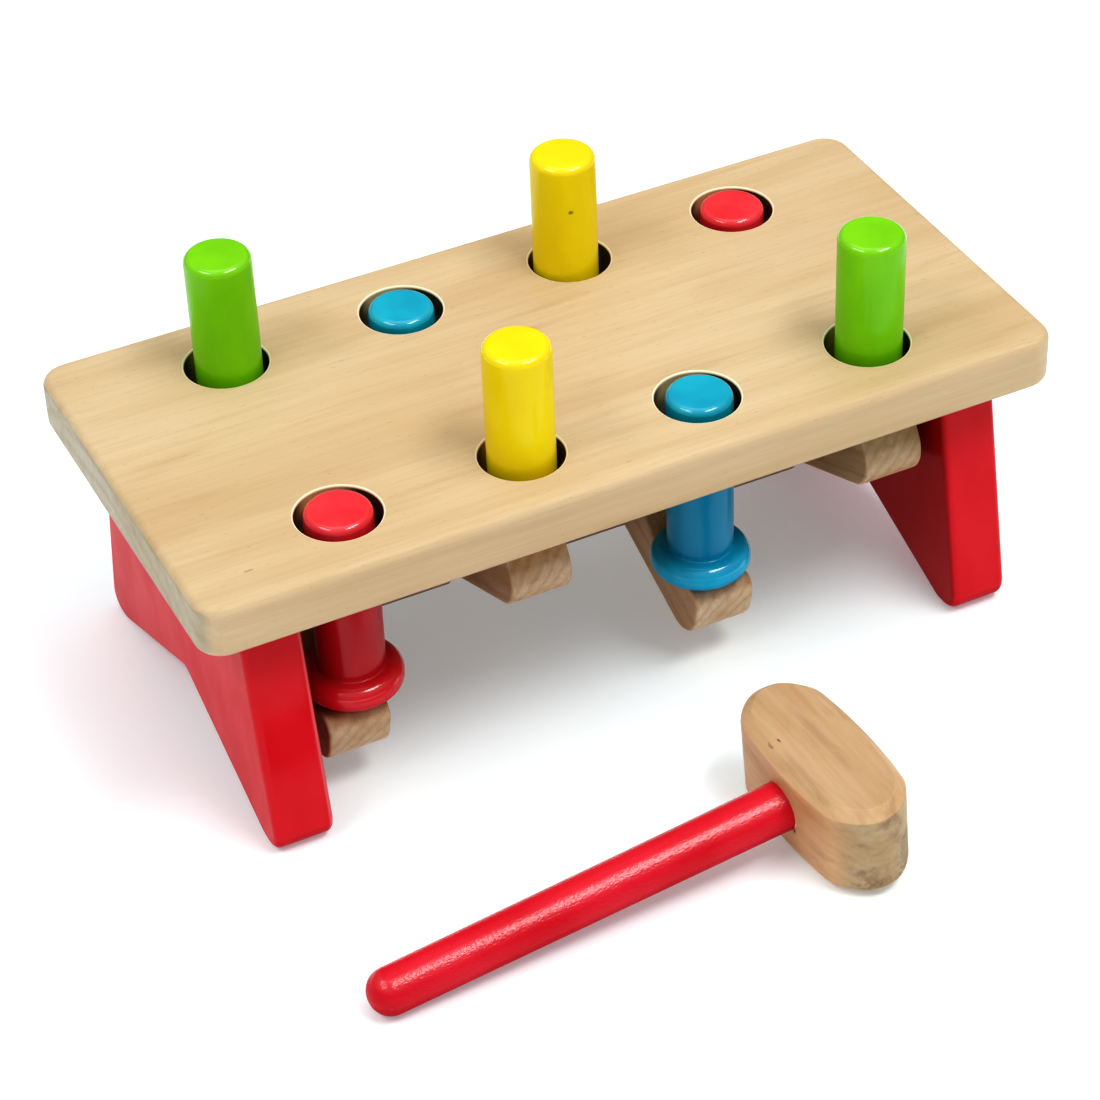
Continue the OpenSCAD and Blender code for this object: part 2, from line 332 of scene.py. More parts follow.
def woodMaterial(name, look, matrix, seed):
    material, tree, shader = startMaterial(name)
    figure = woodFigure
    grain = alongGrain(tree, matrix, seed)
    upward = axesOf(tree, "Normal")["Z"]
    ends = endGrain(tree, matrix, look.get("ends", figure["ends"]))
    ends = maths(tree, "MULTIPLY", ends, ramp(tree, upward, *figure["endsFade"], 1.0, 0.0))

    # yearly rings about an axis outside the piece, bent by a slow noise
    bend = noise(tree, stretched(tree, grain, look["bendLength"], look["bendWidth"]), detail=2.0)
    aside = addNode(tree, "ShaderNodeCombineXYZ", None, {
        "Y": maths(tree, "MULTIPLY", bend, look["bend"]),
        "Z": maths(tree, "MULTIPLY", bend, look["bend"] * figure["bendUpwards"])})
    bent = vectorMaths(tree, "ADD", grain, aside.outputs["Vector"])
    heart = seedShift * seed + Vector((0, *look["heart"]))
    rings = addNode(tree, "ShaderNodeTexWave", {
        "wave_type": "RINGS", "rings_direction": "X", "wave_profile": "SIN"}, {
        "Vector": vectorMaths(tree, "SUBTRACT", bent, heart),
        "Scale": figure["ringScale"] / look["ringWidth"], "Distortion": look["ringWobble"],
        "Detail": 3.0, "Detail Scale": 0.35, "Detail Roughness": 0.55}).outputs["Fac"]
    lateWood = ramp(tree, rings, *figure["lateWood"])
    ringShare = ramp(tree, ends, 0.0, 1.0, look["ringStrength"], look["ringAtEnds"], False)

    clouds = noise(tree, stretched(tree, grain, look["cloudLength"], look["cloudWidth"]),
                   detail=2.0)
    patches = noise(tree, stretched(tree, grain, look["patchLength"], look["patchWidth"]),
                    detail=look.get("patchDetail", 2.0), distortion=0.4)
    streaks = noise(tree, stretched(tree, grain, look["streakLength"], look["streakWidth"]),
                    detail=5.0, roughness=0.62, distortion=0.3)
    fibres = noise(tree, stretched(tree, grain, figure["fibreLength"], figure["fibreWidth"]),
                   detail=3.0, roughness=0.65)
    flecks = noise(tree, stretched(tree, grain, look["fleckLength"], look["fleckWidth"]),
                   detail=1.0, roughness=0.4)
    patchMask = ramp(tree, patches, look["patchFrom"], look["patchFrom"] + figure["patchSoftness"])
    streakMask = ramp(tree, streaks, *figure["streaks"])
    fibreMask = ramp(tree, fibres, *figure["fibres"])
    fleckMask = ramp(tree, flecks, look["fleckFrom"], look["fleckFrom"] + figure["fleckSoftness"])

    colour = mixColour(tree, ramp(tree, clouds, *figure["clouds"]), look["light"], look["warm"])
    streakShare = maths(tree, "MULTIPLY", streakMask, look["streakStrength"])
    colour = mixColour(tree, streakShare, colour, look["streakColour"])
    figured = maths(tree, "MULTIPLY", patchMask, ramp(tree, streaks, *figure["figured"]))
    patchShare = ramp(tree, ends, 0.0, 1.0, look["patchStrength"], look["patchAtEnds"], False)
    colour = mixColour(tree, maths(tree, "MULTIPLY", figured, patchShare),
                       colour, look["patchColour"])
    colour = mixColour(tree, maths(tree, "MULTIPLY", lateWood, ringShare),
                       colour, look["ringColour"])
    colour = mixColour(tree, maths(tree, "MULTIPLY", fibreMask, look["fibreStrength"]),
                       colour, look["ringColour"])
    colour = mixColour(tree, maths(tree, "MULTIPLY", fleckMask, look["fleckStrength"]),
                       colour, look["fleckColour"])
    colour = tinted(tree, ends, colour, look["endTint"])
    # painted shade: faces that look upwards are toned down
    if "topShade" in look:
        colour = tinted(tree, ramp(tree, upward, *figure["top"]), colour, look["topShade"])
    # painted shade: faces that look downwards are darkened
    if "underSideShade" in look:
        under = ramp(tree, upward, *figure["under"], 1.0, 0.0)
        colour = tinted(tree, under, colour, look["underSideShade"])
    # painted light: the slanting chamfers are lightened against their shade
    if "chamferLight" in look:
        chamfer = maths(tree, "MULTIPLY", ramp(tree, upward, *figure["chamfer"]),
                        ramp(tree, upward, *figure["chamferEnd"], 1.0, 0.0))
        colour = tinted(tree, chamfer, colour, look["chamferLight"])
    tree.links.new(colour, shader.inputs["Base Color"])

    dull = [look["roughness"] + change for change in figure["glossChange"]]
    gloss = ramp(tree, streaks, *figure["gloss"], *dull)
    tree.links.new(gloss, shader.inputs["Roughness"])
    shader.inputs["Specular IOR Level"].default_value = look["specular"]

    height = maths(tree, "MULTIPLY", fibres, figure["fibreHeight"])
    height = maths(tree, "ADD", height, maths(tree, "MULTIPLY", fleckMask, figure["fleckHeight"]))
    height = maths(tree, "ADD", height, maths(tree, "MULTIPLY", lateWood, figure["ringHeight"]))
    bump = addNode(tree, "ShaderNodeBump", None, {
        "Strength": look["bumpStrength"], "Distance": figure["bumpDistance"] * mm,
        "Height": height})
    tree.links.new(bump.outputs["Normal"], shader.inputs["Normal"])
    return material


boardLook = {
    "light": srgb(219, 197, 163), "warm": srgb(210, 185, 147),
    "cloudLength": 120.0, "cloudWidth": 30.0,
    "streakColour": srgb(198, 168, 127), "streakStrength": 0.30,
    "streakLength": 60.0, "streakWidth": 3.0,
    "patchColour": srgb(178, 142, 98), "patchStrength": 0.42, "patchAtEnds": 0.42,
    "patchLength": 70.0, "patchWidth": 13.0, "patchFrom": 0.56,
    "bend": 22.0, "bendLength": 150.0, "bendWidth": 50.0, "heart": (20.0, -95.0),
    "ringWidth": 6.5, "ringWobble": 2.0, "ringStrength": 0.12, "ringAtEnds": 0.30,
    "ringColour": srgb(184, 148, 106), "fibreStrength": 0.14,
    "fleckLength": 2.6, "fleckWidth": 0.4, "fleckFrom": 0.70, "fleckStrength": 0.32,
    "fleckColour": srgb(140, 100, 62), "endTint": (0.76, 0.85, 0.97, 1.0),
    "topShade": (0.955, 0.955, 0.94, 1.0), "underSideShade": (0.55, 0.48, 0.40, 1.0),
    "roughness": 0.42, "specular": 0.30, "bumpStrength": 0.2,
}

leverLook = {
    "light": srgb(205, 172, 138), "warm": srgb(190, 154, 116),
    "cloudLength": 50.0, "cloudWidth": 12.0,
    "streakColour": srgb(164, 126, 90), "streakStrength": 0.32,
    "streakLength": 40.0, "streakWidth": 2.4,
    "patchColour": srgb(130, 92, 60), "patchStrength": 0.28, "patchAtEnds": 0.22,
    "patchLength": 40.0, "patchWidth": 7.0, "patchFrom": 0.54,
    "bend": 5.0, "bendLength": 70.0, "bendWidth": 16.0, "heart": (-38.0, -30.0),
    "ringWidth": 3.4, "ringWobble": 1.4, "ringStrength": 0.20, "ringAtEnds": 0.26,
    "ringColour": srgb(148, 112, 82), "fibreStrength": 0.12,
    "fleckLength": 1.8, "fleckWidth": 0.35, "fleckFrom": 0.66, "fleckStrength": 0.4,
    "fleckColour": srgb(110, 76, 50), "endTint": (1.18, 1.34, 1.52, 1.0),
    "roughness": 0.6, "specular": 0.22, "bumpStrength": 0.35,
}

headLook = {
    "light": srgb(216, 178, 138), "warm": srgb(206, 164, 120),
    "cloudLength": 40.0, "cloudWidth": 9.0,
    "streakColour": srgb(194, 150, 106), "streakStrength": 0.20,
    "streakLength": 46.0, "streakWidth": 2.4,
    "patchColour": srgb(136, 96, 58), "patchStrength": 0.25, "patchAtEnds": 0.62,
    "patchLength": 22.0, "patchWidth": 7.0, "patchFrom": 0.47, "patchDetail": 6.0,
    "bend": 7.0, "bendLength": 60.0, "bendWidth": 14.0, "heart": (6.0, 36.0),
    "ringWidth": 2.2, "ringWobble": 5.5, "ringStrength": 0.06, "ringAtEnds": 0.08,
    "ringColour": srgb(158, 116, 76), "fibreStrength": 0.08,
    "fleckLength": 1.8, "fleckWidth": 0.35, "fleckFrom": 0.70, "fleckStrength": 0.18,
    "fleckColour": srgb(112, 76, 44), "ends": (0.42, 0.78), "endTint": (0.78, 0.90, 0.98, 1.0),
    "topShade": (0.84, 0.90, 0.96, 1.0), "chamferLight": (1.16, 1.16, 1.15, 1.0),
    "roughness": 0.45, "specular": 0.30, "bumpStrength": 0.3,
}

# rod and sleeves, brown, darkened as painted shade for the board's shade over them
rodShadeLook = dict(leverLook, light=srgb(126, 94, 66), warm=srgb(112, 82, 54))

# small traces of making and use, each where the photograph shows it
traces = {  # piece: place and half sizes in millimetres, tone, strength
    "topBoard": [((-110.7, -4.8, 89.4), (2.1, 0.45, 2.0), srgb(150, 124, 78), 0.55)],
    "hammerHead": [((7.2, -69.9, 31.3), (0.6, 1.9, 3.0), srgb(96, 56, 22), 0.85),
                   ((9.9, -69.8, 31.3), (0.5, 1.5, 3.0), srgb(96, 56, 22), 0.75),
                   ((7.0, -84.6, 13.4), (1.6, 1.0, 1.3), srgb(236, 226, 208), 0.85),
                   ((6.8, -84.2, 10.6), (1.6, 0.9, 1.2), srgb(58, 40, 26), 0.8),
                   ((27.6, -102.4, 10.0), (5.5, 6.5, 10.0), srgb(108, 74, 38), 0.45),
                   ((21.0, -104.5, 4.5), (9.0, 5.0, 3.6), srgb(112, 78, 40), 0.45)],
    "backYellowPeg": [((23.4, 75.1, 111.3), (0.9, 1.5, 0.8), srgb(112, 84, 8), 0.8)],
    "leverOne": [((-87.9, -0.6, 27.4), (3.4, 3.0, 1.7), srgb(214, 84, 74), 0.5)],
    "leverThree": [((37.6, -1.4, 26.6), (2.0, 3.0, 1.5), srgb(222, 66, 62), 0.6)],
}


def addTraces(material, name):
    tree = material.node_tree
    shader = tree.nodes["Principled BSDF"]
    place = coordinate(tree, "Object")
    raggedSize, raggedness = 1.1 * mm, 1.2
    ragged = noise(tree, vectorMaths(tree, "MULTIPLY", place, 1 / raggedSize), detail=2.0)
    unevenness = maths(tree, "MULTIPLY", maths(tree, "SUBTRACT", ragged, 0.5), raggedness)
    for middle, halfSizes, tone, strength in traces[name]:
        colour = shader.inputs["Base Color"].links[0].from_socket
        away = vectorMaths(tree, "SUBTRACT", place, Vector(middle) * mm)
        away = vectorMaths(tree, "MULTIPLY", away, tuple(1 / (half * mm) for half in halfSizes))
        reach = addNode(tree, "ShaderNodeVectorMath", {"operation": "LENGTH"}, {0: away})
        mask = ramp(tree, maths(tree, "ADD", reach.outputs["Value"], unevenness),
                    0.45, 1.0, strength, 0.0)
        tree.links.new(mixColour(tree, mask, colour, tone), shader.inputs["Base Color"])


# paint

paintFilm = {  # what all the paints share; sizes along and across the grain in millimetres
    "pools": (26.0, 14.0), "showing": (14.0, 0.9), "pits": (1.6, 0.9),
    "poolsMask": (0.3, 0.7), "showingMask": (0.5, 0.8), "pitsMask": (0.80, 0.88),
    "showingStrength": 0.25, "pitStrength": 0.5, "underneath": (-0.6, 0.0), "glossChange": 0.08,
    "inner": (0.6, 0.95), "arris": (0.25, 0.5), "arrisEnd": (0.7, 0.9), "arrisStrength": 0.55,
    "coatBelow": 0.12, "coatFrom": (-0.25, 0.0), "coatIor": 1.6,
    "shadeStart": 3.0, "shadeEnd": 12.0,  # lengths over which the board's shade begins and ends
    "bumpDistance": 0.06, "showingHeight": 0.8, "poolHeight": 3.0, "pitHeight": -0.8,
}


def paintMaterial(name, look, matrix, seed, shadeHeights=None, innerSide=0):
    # shadeHeights: where, in millimetres, a lowered front peg's shank is in the board's shade
    # innerSide: the way along X in which a leg's inner face looks
    material, tree, shader = startMaterial(name)
    film = paintFilm
    grain = alongGrain(tree, matrix, seed)
    pools = noise(tree, stretched(tree, grain, *film["pools"]), detail=2.0)
    showing = noise(tree, stretched(tree, grain, *film["showing"]), detail=3.0, roughness=0.6)
    pits = noise(tree, stretched(tree, grain, *film["pits"]), detail=1.0)
    peel = noise(tree, stretched(tree, grain, *look["peelSize"]), detail=2.0)
    pitMask = ramp(tree, pits, *film["pitsMask"])

    colour = mixColour(tree, ramp(tree, pools, *film["poolsMask"]), look["colour"], look["deep"])
    showingMask = ramp(tree, showing, *film["showingMask"])
    colour = mixColour(tree, maths(tree, "MULTIPLY", showingMask, film["showingStrength"]),
                       colour, look["deep"])
    colour = mixColour(tree, maths(tree, "MULTIPLY", pitMask, film["pitStrength"]),
                       colour, look["pit"])
    # painted shade: the board's shade along a lowered front peg's shank, and on its flange a tint
    # that takes out the warm light from the wood and floor
    if shadeHeights:
        height = axesOf(tree, "Object")["Z"]
        low, high = (value * mm for value in shadeHeights)
        aboveFlange = ramp(tree, height, low, low + film["shadeStart"] * mm)
        underBoard = ramp(tree, height, high - film["shadeEnd"] * mm, high, 1.0, 0.0)
        shaded = maths(tree, "MULTIPLY", aboveFlange, underBoard)
        colour = tinted(tree, shaded, colour, look["shade"])
        onFlange = ramp(tree, height, low, low + film["shadeStart"] * mm, 1.0, 0.0)
        colour = tinted(tree, onFlange, colour, look["flangeShade"])
    facing = axesOf(tree, "Normal")
    # painted shade on a leg's inner face
    if innerSide:
        inner = maths(tree, "MULTIPLY", facing["X"], float(innerSide))
        colour = tinted(tree, ramp(tree, inner, *film["inner"]), colour, look["innerShade"])
    if innerSide > 0:
        # a painted highlight: a paler line of paint along the rounded edges that turn towards the
        # inner face
        arris = maths(tree, "MULTIPLY", ramp(tree, facing["X"], *film["arris"]),
                      ramp(tree, facing["X"], *film["arrisEnd"], 1.0, 0.0))
        arris = maths(tree, "MULTIPLY", arris, film["arrisStrength"])
        colour = mixColour(tree, arris, colour, look["edgeHighlight"])
    # painted shade on faces that look downwards
    beneath = ramp(tree, facing["Z"], *film["underneath"], 1.0, 0.0)
    colour = tinted(tree, beneath, colour, look["underShade"])
    tree.links.new(colour, shader.inputs["Base Color"])
    gloss = ramp(tree, pools, *film["poolsMask"], look["roughness"],
                 look["roughness"] + film["glossChange"])
    tree.links.new(gloss, shader.inputs["Roughness"])
    shader.inputs["Specular IOR Level"].default_value = look["specular"]

    # the paint gathers and shines along the rounded rims, and is dull beneath them
    onRim = maths(tree, "MULTIPLY", ramp(tree, facing["Z"], *look["rimFrom"]),
                  ramp(tree, facing["Z"], *look["rimTo"], 1.0, 0.0))
    weight = ramp(tree, onRim, 0.0, 1.0, look["coat"], look["rimCoat"], False)
    weight = maths(tree, "MULTIPLY", weight,
                   ramp(tree, facing["Z"], *film["coatFrom"], film["coatBelow"], 1.0))
    tree.links.new(weight, shader.inputs["Coat Weight"])
    shader.inputs["Coat IOR"].default_value = film["coatIor"]
    shader.inputs["Coat Roughness"].default_value = look["coatRoughness"]

    relief = maths(tree, "ADD", maths(tree, "MULTIPLY", showing, film["showingHeight"]),
                   maths(tree, "MULTIPLY", pools, film["poolHeight"]))
    relief = maths(tree, "ADD", relief, maths(tree, "MULTIPLY", pitMask, film["pitHeight"]))
    relief = maths(tree, "ADD", relief, maths(tree, "MULTIPLY", peel, look["peel"]))
    bump = addNode(tree, "ShaderNodeBump", None, {
        "Strength": look["bump"], "Distance": film["bumpDistance"] * mm, "Height": relief})
    tree.links.new(bump.outputs["Normal"], shader.inputs["Normal"])
    tree.links.new(bump.outputs["Normal"], shader.inputs["Coat Normal"])
    return material


paints = {
    "red": {"colour": srgb(230, 66, 75), "deep": srgb(220, 48, 58), "pit": srgb(120, 8, 12),
            "shade": (0.70, 0.25, 0.36, 1.0), "flangeShade": (0.94, 0.42, 0.60, 1.0)},
    "yellow": {"colour": srgb(244, 222, 2), "deep": srgb(238, 212, 0), "pit": srgb(150, 118, 6)},
    "green": {"colour": srgb(133, 210, 2), "deep": srgb(122, 198, 1), "pit": srgb(46, 92, 6)},
    "blue": {"colour": srgb(26, 177, 200), "deep": srgb(12, 158, 186), "pit": srgb(8, 70, 96),
             "shade": (0.06, 0.64, 0.85, 1.0), "flangeShade": (0.76, 1.06, 1.26, 1.0)},
    "legRed": {"colour": srgb(220, 34, 48), "deep": srgb(213, 26, 40), "pit": srgb(120, 8, 12)},
    "handleRed": {"colour": srgb(216, 38, 58), "deep": srgb(204, 24, 42), "pit": srgb(120, 8, 12)},
}
for paint in paints.values():
    paint.update({
        "underShade": (0.72, 0.66, 0.78, 1.0), "specular": 0.08, "roughness": 0.32, "coat": 0.35,
        "rimCoat": 1.0, "rimFrom": (0.15, 0.35), "rimTo": (0.93, 0.985), "coatRoughness": 0.12,
        "peel": 0.4, "peelSize": (2.4, 1.0), "bump": 0.35,
    })
paints["legRed"].update({
    "specular": 0.05, "coat": 0.2, "rimCoat": 0.45, "bump": 0.12,
    "innerShade": (0.60, 0.20, 0.26, 1.0), "edgeHighlight": srgb(232, 120, 128),
})
paints["handleRed"].update({
    "specular": 0.06, "roughness": 0.5, "coat": 0.2, "rimFrom": (0.50, 0.78), "rimTo": (0.90, 0.97),
    "coatRoughness": 0.22, "peel": 2.6, "peelSize": (1.0, 0.6), "bump": 0.9,
})

upright = Matrix.Rotation(math.radians(90), 4, "Y")  # grain up the pegs and legs

# board

board = {
    "length": 258.0, "width": 125.0, "thickness": 16.0, "top": 89.4,
    "cornerRadius": 8.0, "edgeRadius": 2.5,
    "holeDiameter": 24.0, "rimRadius": 0.55, "rowGap": 78.0, "columnMargin": 48.45,
    "rimColour": srgb(250, 234, 204), "rimFades": (-0.3, 0.1),  # round each hole
    # painted shade for the holes' walls, along and across the grain
    "wallAlong": (1.0, 0.90, 0.76, 1.0), "wallAcross": (0.14, 0.10, 0.06, 1.0),
    "wallFacing": (0.97, 0.995), "acrossFacing": (0.35, 0.80),
    "plainMargin": 5.0,  # along the outer edges, where nothing is taken for a hole's wall
}
board["pitch"] = (board["length"] - 2 * board["columnMargin"]) / 3
boardUnder = board["top"] - board["thickness"]


def columnX(column):
    return (column - 1.5) * board["pitch"]


def holeCutter(bm, x, y):
    # revolved cutter that widens at both faces, so that each rim comes out softened
    radius, soft, half = board["holeDiameter"] / 2, board["rimRadius"], board["thickness"] / 2
    cutter = bmesh.new()
    past, wide = half + 2, radius + soft + 1.5
    outline = [(0, 0, -past), (wide, 0, -past), (wide, 0, -half), (radius, 0, -half),
               (radius, 0, half), (wide, 0, half), (wide, 0, past), (0, 0, past)]
    wire(cutter, outline, False)
    for end in (-half, half):
        roundCorner(cutter, nearest(cutter, (radius, 0, end)), soft, 4)
    spinRound(cutter)
    bmesh.ops.recalc_face_normals(cutter, faces=cutter.faces[:])
    middle = Vector((x, y, board["top"] - half)) * mm
    bmesh.ops.translate(cutter, verts=cutter.verts[:], vec=middle)
    mesh = bpy.data.meshes.new("hole")
    cutter.to_mesh(mesh)
    cutter.free()
    bm.from_mesh(mesh)
    bpy.data.meshes.remove(mesh)


def shadeHoles(material):
    # drilled walls take painted shade, darkest across the grain, whose end grain is darker too; tan
    # along it, with a pale rim on top
    tree = material.node_tree
    shader = tree.nodes["Principled BSDF"]
    colour = shader.inputs["Base Color"].links[0].from_socket
    place, facing = axesOf(tree, "Object"), axesOf(tree, "Normal")
    inside = ramp(tree, maths(tree, "ABSOLUTE", facing["Z"]), *board["wallFacing"], 1.0, 0.0)
    for axis, middle, half in (("X", 0.0, board["length"] / 2), ("Y", benchY, board["width"] / 2)):
        away = maths(tree, "ABSOLUTE", maths(tree, "SUBTRACT", place[axis], middle * mm))
        within = maths(tree, "LESS_THAN", away, (half - board["plainMargin"]) * mm)
        inside = maths(tree, "MULTIPLY", within, inside)
    fades = [(board["top"] - board["rimRadius"] + fade) * mm for fade in board["rimFades"]]
    depth = ramp(tree, place["Z"], *fades, 1.0, 0.0)
    across = ramp(tree, maths(tree, "ABSOLUTE", facing["X"]), *board["acrossFacing"])
    wall = mixColour(tree, across, board["wallAlong"], board["wallAcross"])
    wall = mixColour(tree, 1.0, colour, wall, "MULTIPLY")
    shaded = mixColour(tree, depth, board["rimColour"], wall)
    tree.links.new(mixColour(tree, inside, colour, shaded), shader.inputs["Base Color"])


def buildBoard():
    bm = bmesh.new()
    size = Vector((board["length"], board["width"], board["thickness"])) * mm
    bmesh.ops.create_cube(bm, size=1.0)
    bmesh.ops.scale(bm, vec=size, verts=bm.verts[:])
    corners = [e for e in bm.edges if abs(e.verts[0].co.z - e.verts[1].co.z) > 1 * mm]
    bevelAll(bm, corners, board["cornerRadius"], 10)
    rims = [e for e in bm.edges if abs(e.verts[0].co.z - e.verts[1].co.z) < 0.01 * mm]
    bevelAll(bm, rims, board["edgeRadius"], 6)
    middle = Vector((0, benchY, board["top"] - board["thickness"] / 2)) * mm
    bmesh.ops.translate(bm, verts=bm.verts[:], vec=middle)
    blank = meshFrom("topBoard", bm)
    cutter = bmesh.new()
    for column in range(4):
        for row in (-1, 1):
            holeCutter(cutter, columnX(column), benchY + row * board["rowGap"] / 2)
    mesh = cutAway(blank, meshFrom("holes", cutter))
    material = woodMaterial("paleBeech", boardLook, placing(0, benchY, board["top"]), 1.0)
    shadeHoles(material)
    finishPiece("topBoard", mesh, "bench", material, "top_board")


buildBoard()
print("board made")

# legs

leg = {
    "thickness": 17.4, "inset": 13.3, "topWidth": 100.8, "footWidth": 125.4,
    "footRadius": 6.5, "soleLength": 3.4, "notchHeight": 20.5, "edgeRadius": 2.3,
    "notchSoftening": 5.0, "overTop": 10.0,  # cut off again at the board's underside
    "rodSeat": 9.1, "rodSeatDepth": 10.0,
    "dowelSeat": 8.1, "dowelSeatDepth": 19.0, "dowelPlaces": (-32, 0, 32),
}
legX = board["length"] / 2 - leg["inset"] - leg["thickness"] / 2


def buildLeg(side, name, nodeName):
    bm = bmesh.new()
    rise = boardUnder - leg["footRadius"]
    splay = math.atan((leg["footWidth"] - leg["topWidth"]) / 2 / rise)
    footMiddle = leg["footWidth"] / 2 - leg["footRadius"]
    outer = footMiddle + leg["footRadius"] * (1 + math.sin(splay)) / math.cos(splay)
    notchRise = leg["notchHeight"] / (footMiddle - leg["soleLength"])
    inner = leg["notchHeight"] / notchRise
    crown = boardUnder + leg["overTop"]
    crownHalf = outer - crown * math.tan(splay)
    outline = [(0, y, z) for y, z in (
        (crownHalf, crown), (outer, 0), (inner, 0), (0, leg["notchHeight"]),
        (-inner, 0), (-outer, 0), (-crownHalf, crown))]
    wire(bm, outline, True)
    tipTangent = leg["footRadius"] / math.tan((math.pi / 2 - splay) / 2)
    slope = math.atan(notchRise)
    for sign in (-1, 1):
        roundCorner(bm, nearest(bm, (0, sign * outer, 0)), tipTangent, 10)
        roundCorner(bm, nearest(bm, (0, sign * inner, 0)),
                    leg["footRadius"] * math.tan(slope / 2), 4)
    roundCorner(bm, nearest(bm, (0, 0, leg["notchHeight"])),
                leg["notchSoftening"] * math.tan(slope), 6)
    bmesh.ops.contextual_create(bm, geom=bm.edges[:])
    made = bmesh.ops.extrude_face_region(bm, geom=bm.faces[:])
    moved = [v for v in made["geom"] if isinstance(v, bmesh.types.BMVert)]
    bmesh.ops.translate(bm, verts=moved, vec=(leg["thickness"] * mm, 0, 0))
    bmesh.ops.recalc_face_normals(bm, faces=bm.faces[:])
    rims = [e for e in bm.edges if abs(e.verts[0].co.x - e.verts[1].co.x) < 0.01 * mm]
    bevelAll(bm, rims, leg["edgeRadius"], 6)
    bmesh.ops.bisect_plane(bm, geom=bm.verts[:] + bm.edges[:] + bm.faces[:],
                           plane_co=(0, 0, boardUnder * mm), plane_no=(0, 0, 1),
                           clear_outer=True, dist=0.001 * mm)
    bmesh.ops.holes_fill(bm, edges=[e for e in bm.edges if e.is_boundary])
    halfThick = leg["thickness"] / 2
    bmesh.ops.translate(bm, verts=bm.verts[:],
                        vec=Vector((side * legX - halfThick, benchY, 0)) * mm)
    mesh = meshFrom(name, bm)
    cutter = bmesh.new()
    innerFace = placing(side * (legX - halfThick), benchY, pivotHeight) @ upright
    boreInto(cutter, leg["rodSeat"], 2 * leg["rodSeatDepth"], innerFace)
    for place in leg["dowelPlaces"]:
        boreInto(cutter, leg["dowelSeat"], 2 * leg["dowelSeatDepth"],
                 placing(side * legX, benchY + place, boardUnder))
    mesh = cutAway(mesh, meshFrom("bores", cutter))
    material = paintMaterial(name + "Paint", paints["legRed"], upright, side * 3.0, None, -side)
    finishPiece(name, mesh, "bench", material, nodeName)


buildLeg(-1, "leftLeg", "left_leg")
buildLeg(1, "rightLeg", "right_leg")
print("legs made")

# pegs

peg = {
    "length": 60.5, "shankDiameter": 19.0, "topRounding": 2.2,
    "flangeDiameter": 28.6, "flangeThickness": 8.0, "rimRounding": 3.6, "neckFillet": 0.5,
    "low": 30.4, "high": 65.0,
    "shadeAboveFoot": 7.0, "shadeIntoBoard": 8.0,
}
pegPlaces = {  # name: column, row, height, drift aside, paint, CAD node
    "frontRedPeg": (0, -1, "low", 0, "red", "front_red_peg"),
    "frontYellowPeg": (1, -1, "high", 0, "yellow", "front_yellow_peg"),
    "frontBluePeg": (2, -1, "low", 0.54, "blue", "front_blue_peg"),
    "frontGreenPeg": (3, -1, "high", 0.54, "green", "front_green_peg"),
    "backGreenPeg": (0, 1, "high", 0.72, "green", "back_green_peg"),
    "backBluePeg": (1, 1, "low", 0, "blue", "back_blue_peg"),
    "backYellowPeg": (2, 1, "high", -1.17, "yellow", "back_yellow_peg"),
    "backRedPeg": (3, 1, "low", 0, "red", "back_red_peg"),
}


def buildPeg(name, column, row, height, drift, paint, nodeName, seed):
    bm = bmesh.new()
    shank, flange = peg["shankDiameter"] / 2, peg["flangeDiameter"] / 2
    thick = peg["flangeThickness"]
    outline = [(0, 0, 0), (flange, 0, 0), (flange, 0, thick), (shank, 0, thick),
               (shank, 0, peg["length"]), (0, 0, peg["length"])]
    wire(bm, outline, False)
    for point, radius, segments in (
            ((flange, 0, 0), peg["rimRounding"], 8), ((flange, 0, thick), peg["rimRounding"], 8),
            ((shank, 0, thick), peg["neckFillet"], 3),
            ((shank, 0, peg["length"]), peg["topRounding"], 8)):
        roundCorner(bm, nearest(bm, point), radius, segments)
    spinRound(bm)
    mesh = meshFrom(name, bm)
    turn = seed * 77  # so that no two pegs show the same side
    place = placing(columnX(column) + drift, benchY + row * board["rowGap"] / 2, peg[height], turn)
    inShade = height == "low" and row < 0
    shadeHeights = (peg["low"] + peg["shadeAboveFoot"], boardUnder + peg["shadeIntoBoard"])
    material = paintMaterial(name + "Paint", paints[paint], place @ upright, seed,
                             shadeHeights if inShade else None)
    finishPiece(name, mesh, nodeName, material, nodeName, place, 60)


for seed, (name, values) in enumerate(pegPlaces.items()):
    buildPeg(name, *values, seed + 1.0)
print("pegs made")

# levers, rod and sleeves

lever = {
    "width": 18.5, "endReach": 42.6, "endRadius": 9.5,
    "noseReach": 45.8, "noseRise": 5.5, "noseRadius": 5.4,
    "seatRadius": 24.0, "seatReach": 29.0, "seatFloor": 4.0, "hubRise": 9.0,
    "edgeRadius": 0.9, "boreDiameter": 9.16,
}
lever["tilt"] = math.degrees(math.asin((peg["high"] - peg["low"]) / 2 / lever["noseReach"]))
leverPlaces = {  # name: column, aside from it, 1 where the front end is low, CAD node
    "leverOne": (0, -3.195, 1, "lever_1"),
    "leverTwo": (1, 0, -1, "lever_2"),
    "leverThree": (2, 2.565, 1, "lever_3"),
    "leverFour": (3, 4.185, -1, "lever_4"),
}


def arcOf(bm, start, centre, sweep, steps):
    # carries a point of the profile round a centre, given as Y and Z in millimetres
    spun = bmesh.ops.spin(bm, geom=[start], cent=Vector((0, *centre)) * mm, axis=(1, 0, 0),
                          angle=sweep, steps=steps, use_merge=False, use_duplicate=False)
    return [v for v in spun["geom_last"] if isinstance(v, bmesh.types.BMVert)][0]


